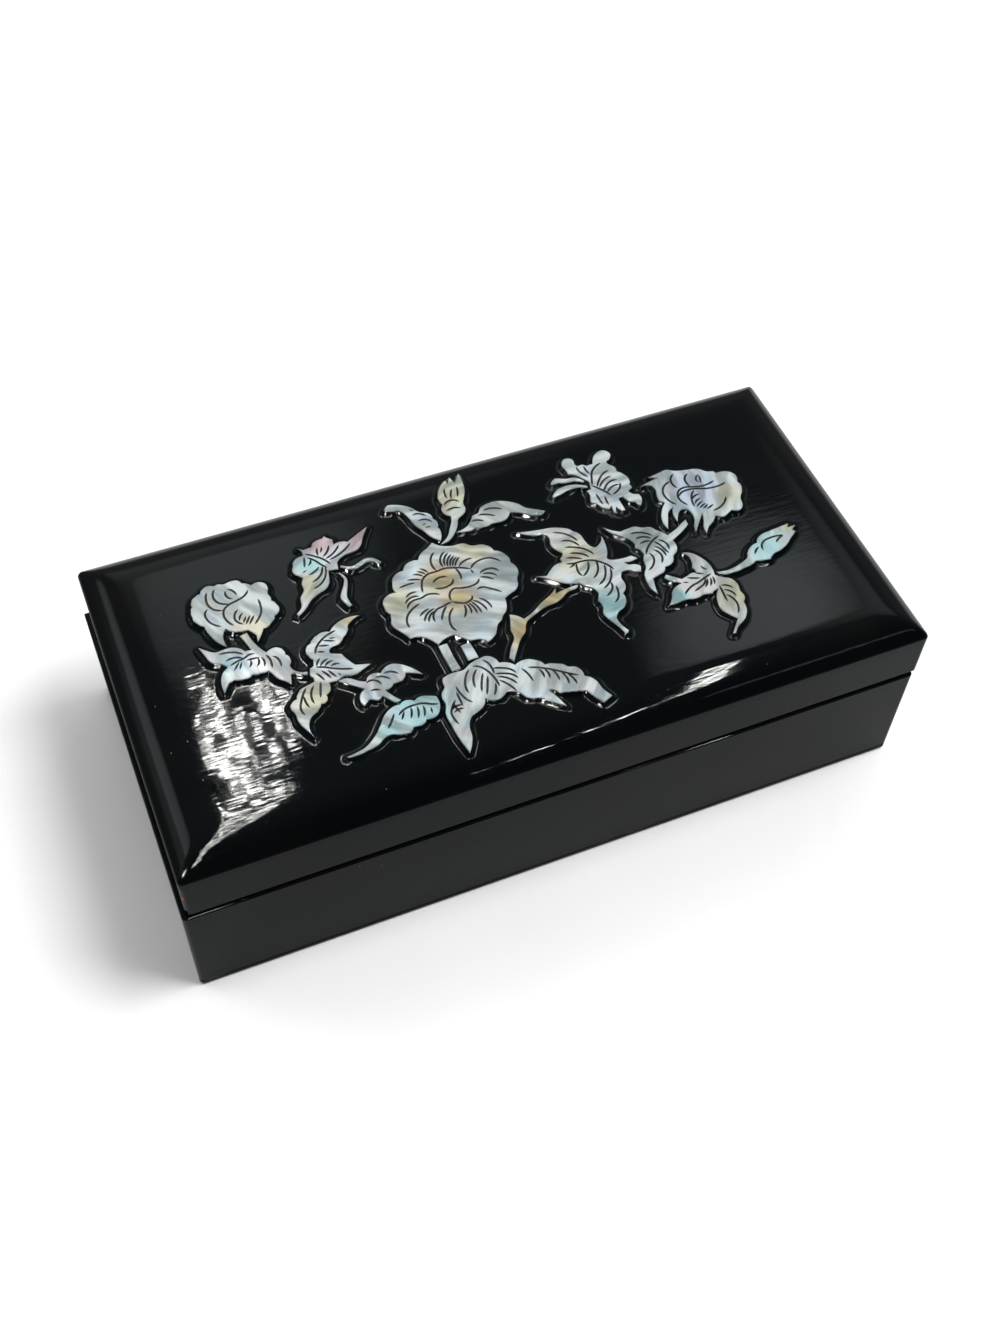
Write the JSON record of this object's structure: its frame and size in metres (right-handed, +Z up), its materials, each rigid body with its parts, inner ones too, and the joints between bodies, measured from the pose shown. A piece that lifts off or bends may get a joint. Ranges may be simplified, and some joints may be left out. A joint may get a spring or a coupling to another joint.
{
  "type": "hinged jewelry box",
  "caption": "Low rectangular black lacquer box with a velvet-lined inside and a hinged cushion-topped lid set with raised shell flowers, leaves and butterflies.",
  "frame": {"origin": "middle of the underside of the base, on the surface that the box stands on", "axes": "+X to the right along the front, +Y from the front to the hinged back, +Z up"},
  "size_m": [0.2012, 0.1006, 0.0557],
  "materials": {
    "lacquer": "black gloss lacquer over wood",
    "velvet": "short cotton velvet over card",
    "brass": "lightly tarnished brass",
    "shell": "polished mother-of-pearl under clear lacquer"
  },
  "bodies": {
    "base": {"base_front_wall": "lacquer", "base_back_wall": "lacquer", "base_left_wall": "lacquer", "base_right_wall": "lacquer", "base_bottom_board": "lacquer", "base_lining_front": "velvet", "base_lining_right": "velvet", "base_lining_back": "velvet", "base_lining_left": "velvet", "base_floor_pad": "velvet", "hinge_left_base_leaf": "brass", "hinge_left_pin": "brass", "hinge_left_base_screw_1": "brass", "hinge_left_base_screw_2": "brass", "hinge_right_base_leaf": "brass", "hinge_right_pin": "brass", "hinge_right_base_screw_1": "brass", "hinge_right_base_screw_2": "brass"},
    "lid": {"lid_front_rail": "lacquer", "lid_back_rail": "lacquer", "lid_left_rail": "lacquer", "lid_right_rail": "lacquer", "lid_top_board": "lacquer", "lid_lining_pad": "velvet", "hinge_left_lid_leaf": "brass", "hinge_left_lid_screw_1": "brass", "hinge_left_lid_screw_2": "brass", "hinge_right_lid_leaf": "brass", "hinge_right_lid_screw_1": "brass", "hinge_right_lid_screw_2": "brass", "inlay_peony_left": "shell", "inlay_leaves_left": "shell", "inlay_leaves_inner_left": "shell", "inlay_leaf_twig_left": "shell", "inlay_leaf_blue": "shell", "inlay_butterfly_left": "shell", "inlay_feeler_left_high": "shell", "inlay_feeler_left_low": "shell", "inlay_peony_centre": "shell", "inlay_stem_centre_left": "shell", "inlay_stem_centre_right": "shell", "inlay_leaves_centre": "shell", "inlay_bud_leaf_left": "shell", "inlay_bud_centre": "shell", "inlay_bud_leaf_right": "shell", "inlay_twig_ochre": "shell", "inlay_leaves_centre_right": "shell", "inlay_leaves_right": "shell", "inlay_butterfly_right": "shell", "inlay_feeler_right_high": "shell", "inlay_feeler_right_low": "shell", "inlay_peony_right": "shell", "inlay_leaves_low_right": "shell", "inlay_bud_right": "shell"}
  },
  "joints": [
    {"name": "lid_hinge", "type": "hinge", "parent": "base", "child": "lid", "pos_m": [0, 0.049, 0.0353], "axis": [-1, 0, 0], "range_deg": [0, 100]}
  ]
}
